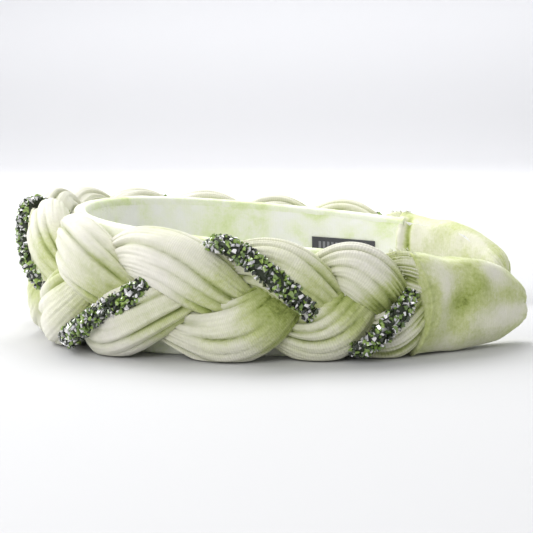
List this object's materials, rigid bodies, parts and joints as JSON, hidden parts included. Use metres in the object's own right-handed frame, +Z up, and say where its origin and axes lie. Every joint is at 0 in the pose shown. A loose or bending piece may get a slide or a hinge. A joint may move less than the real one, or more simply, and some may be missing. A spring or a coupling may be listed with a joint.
{
  "type": "braided headband",
  "caption": "Padded velvet hair band with a three-strand plait and a crystal trim over a springy open core, gathered sleeves on both ends.",
  "frame": {"origin": "under the middle of the whole band, on the surface that it lies on", "axes": "+X from the crown to the open ends, +Y towards the left arm, +Z up from the edge that the band lies on"},
  "size_m": [0.1612, 0.1626, 0.0444],
  "materials": {
    "core_plastic": "smooth springy plastic strip",
    "lining_velvet": "short-pile velvet, lime and white mottled",
    "strand_velvet": "gathered velvet, cream shading to lime in the folds",
    "sleeve_velvet": "velvet, blotched lime and cream",
    "wadding": "loose polyester wadding",
    "trim_tape": "dark woven tape",
    "crystal": "crushed glass chips, dark green and silver",
    "binding_thread": "wound cotton thread",
    "label": "black woven satin label"
  },
  "bodies": {
    "right_half": {"right_core": "core_plastic", "right_cover": "lining_velvet", "right_lining": "lining_velvet", "right_strand_a": "strand_velvet", "right_strand_b": "strand_velvet", "right_strand_c": "strand_velvet", "right_wadding_a": "wadding", "right_wadding_b": "wadding", "right_wadding_c": "wadding", "right_trim_tape": "trim_tape", "right_crystals": "crystal", "right_binding": "binding_thread", "right_sleeve": "sleeve_velvet", "right_sleeve_wadding": "wadding"},
    "left_half": {"left_core": "core_plastic", "left_cover": "lining_velvet", "left_lining": "lining_velvet", "left_strand_a": "strand_velvet", "left_strand_b": "strand_velvet", "left_strand_c": "strand_velvet", "left_wadding_a": "wadding", "left_wadding_b": "wadding", "left_wadding_c": "wadding", "left_trim_tape": "trim_tape", "left_crystals": "crystal", "left_binding": "binding_thread", "left_sleeve": "sleeve_velvet", "left_sleeve_wadding": "wadding", "woven_label": "label"}
  },
  "joints": [
    {"name": "crown_flex", "type": "hinge", "parent": "right_half", "child": "left_half", "pos_m": [-0.06406, 0, 0], "axis": [0, 0, 1], "range_deg": [-4, 16], "stiffness_Nm_per_rad": 0.75}
  ]
}
